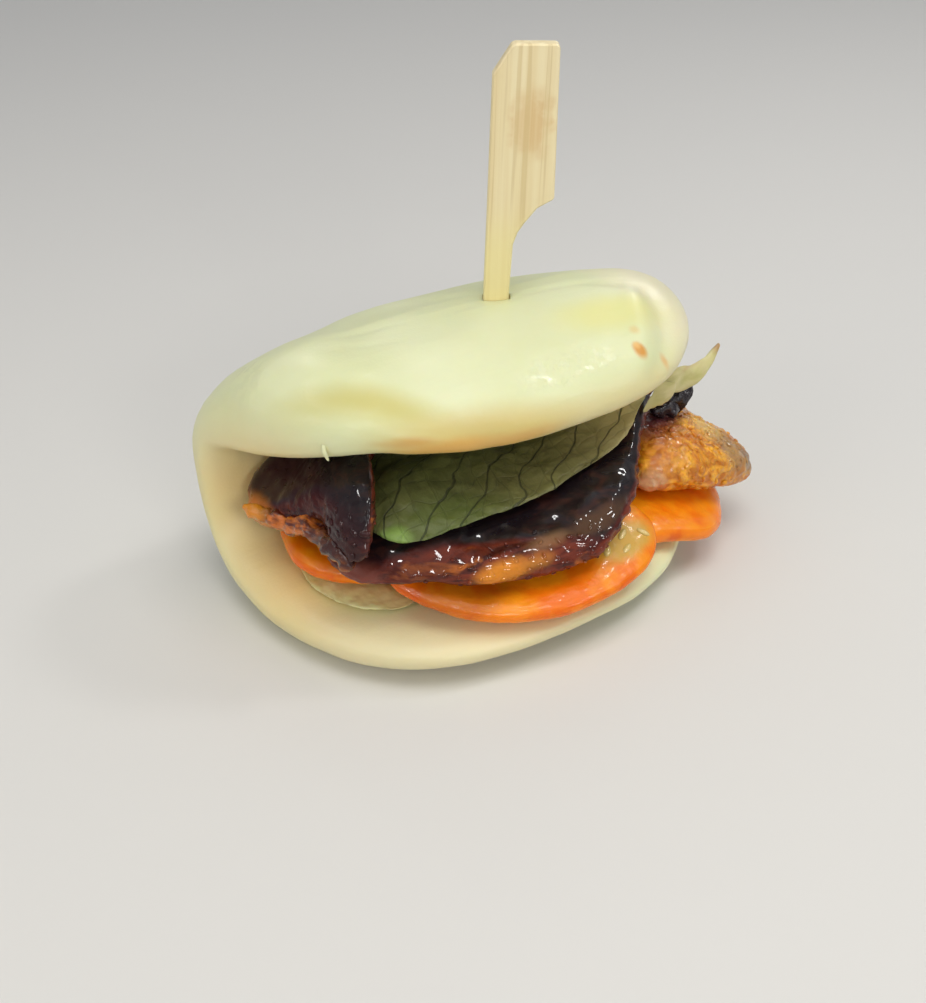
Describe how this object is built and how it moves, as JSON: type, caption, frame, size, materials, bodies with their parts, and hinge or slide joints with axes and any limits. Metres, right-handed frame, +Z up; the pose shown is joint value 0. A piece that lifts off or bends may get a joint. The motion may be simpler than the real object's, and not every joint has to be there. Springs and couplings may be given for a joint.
{
  "type": "filled steamed bun",
  "caption": "Steamed bao bun folded over glazed roast pork, tomato and lettuce, held shut by an upright paddle-shaped bamboo pick.",
  "frame": {"origin": "centre of the whole part's box at its base, on the plane the bun lies on", "axes": "+Z up, +X along the fold of the bun, the open mouth faces -Y"},
  "size_m": [0.112, 0.077, 0.1083],
  "materials": {
    "dough": "soft satin, slightly damp steamed dough",
    "bamboo": "plain sanded bamboo with fine lengthwise grain",
    "pork_glazed": "wet dark glaze",
    "pork_fat": "wet golden fat with charred edge",
    "tomato": "wet flesh",
    "lettuce": "satin leaf with fine veins",
    "pale_leaf": "satin leaf"
  },
  "bodies": {
    "root": {"bun": "dough", "pick": "bamboo", "pork_left": "pork_glazed", "pork_front": "pork_glazed", "pork_right": "pork_fat", "tomato_left": "tomato", "tomato_front": "tomato", "tomato_right": "tomato", "lettuce": "lettuce", "leaf_under": "pale_leaf", "leaf_tip": "pale_leaf"}
  },
  "joints": []
}
